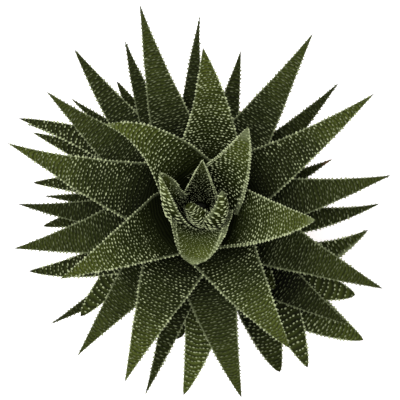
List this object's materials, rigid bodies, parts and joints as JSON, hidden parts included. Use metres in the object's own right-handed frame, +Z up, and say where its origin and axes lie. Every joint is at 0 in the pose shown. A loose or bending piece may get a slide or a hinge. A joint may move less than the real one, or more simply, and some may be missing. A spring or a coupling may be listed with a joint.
{
  "type": "potted haworthia",
  "caption": "Rosette succulent with pointed, pale-tubercled dark green leaves and an offset, in potting mix in a plain clay pot.",
  "frame": {"origin": "middle of the pot's flat underside, on the surface the pot stands on", "axes": "+Z up along the pot's axis; the picture looks straight down with +X to its right and +Y to its top"},
  "size_m": [0.1333, 0.1387, 0.137],
  "materials": {
    "clay": "matte",
    "mix": "matte",
    "stem": "matte",
    "leaf_heart": "satin",
    "leaf_young": "satin",
    "leaf_grown": "satin",
    "leaf_old": "satin"
  },
  "bodies": {
    "root": {"pot": "clay", "potting_mix": "mix", "stem": "stem", "heart_leaf_1": "leaf_heart", "heart_leaf_2": "leaf_heart", "heart_leaf_3": "leaf_heart", "heart_leaf_4": "leaf_heart", "heart_leaf_5": "leaf_heart", "inner_leaf_1": "leaf_young", "inner_leaf_2": "leaf_young", "upper_leaf_1": "leaf_young", "upper_leaf_2": "leaf_young", "upper_leaf_3": "leaf_young", "middle_leaf_1": "leaf_grown", "middle_leaf_2": "leaf_grown", "middle_leaf_3": "leaf_grown", "middle_leaf_4": "leaf_grown", "lower_leaf_1": "leaf_grown", "lower_leaf_2": "leaf_grown", "lower_leaf_3": "leaf_grown", "lower_leaf_4": "leaf_grown", "lower_leaf_5": "leaf_grown", "lower_leaf_6": "leaf_grown", "lower_leaf_7": "leaf_grown", "lower_leaf_8": "leaf_grown", "base_leaf_1": "leaf_old", "base_leaf_2": "leaf_old", "base_leaf_3": "leaf_old", "base_leaf_4": "leaf_old", "base_leaf_5": "leaf_old", "base_leaf_6": "leaf_old", "base_leaf_7": "leaf_old", "base_leaf_8": "leaf_old", "base_leaf_9": "leaf_old", "base_leaf_10": "leaf_old", "base_leaf_11": "leaf_old", "base_leaf_12": "leaf_old", "base_leaf_13": "leaf_old", "base_leaf_14": "leaf_old", "base_leaf_15": "leaf_old", "base_leaf_16": "leaf_old", "base_leaf_17": "leaf_old", "base_leaf_18": "leaf_old", "base_leaf_19": "leaf_old", "base_leaf_20": "leaf_old", "base_leaf_21": "leaf_old", "base_leaf_22": "leaf_old", "offset_leaf_1": "leaf_old", "offset_leaf_2": "leaf_old", "offset_leaf_3": "leaf_old", "offset_leaf_4": "leaf_old", "offset_leaf_5": "leaf_old", "offset_leaf_6": "leaf_old", "offset_leaf_7": "leaf_old", "offset_leaf_8": "leaf_old", "offset_leaf_9": "leaf_old"}
  },
  "joints": []
}
